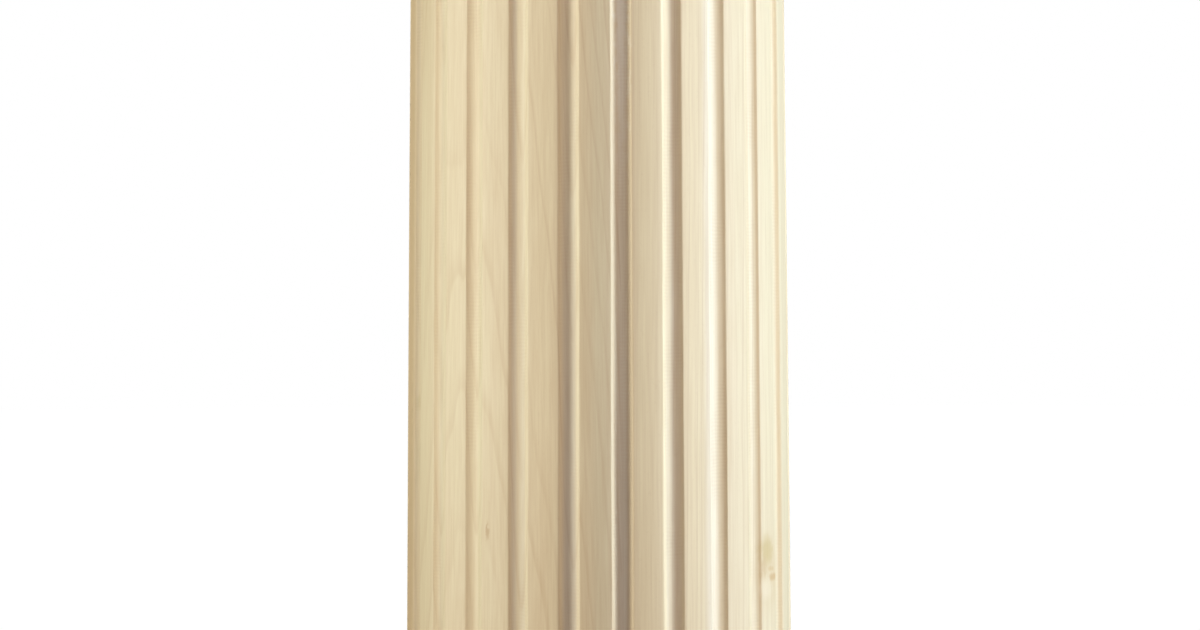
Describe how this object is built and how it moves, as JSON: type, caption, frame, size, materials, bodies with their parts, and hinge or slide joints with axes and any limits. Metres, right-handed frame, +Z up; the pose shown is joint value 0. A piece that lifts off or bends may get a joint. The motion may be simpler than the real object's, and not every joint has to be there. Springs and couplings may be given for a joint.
{
  "type": "fluted column",
  "caption": "Round fluted column shaft of pale maple with shallow rounded flutes, wide fillets and a gentle entasis, cut square at foot and head to stand and carry.",
  "frame": {"origin": "centre of the flat underside, where the shaft stands", "axes": "+Z up along the shaft's axis; the middle of a fillet faces -Y, towards the viewer"},
  "size_m": [0.1016, 0.1016, 0.914],
  "materials": {
    "maple": "bare sanded hard maple, pale cream with faint growth rings, matt"
  },
  "bodies": {
    "root": {"fluted_shaft": "maple"}
  },
  "joints": []
}
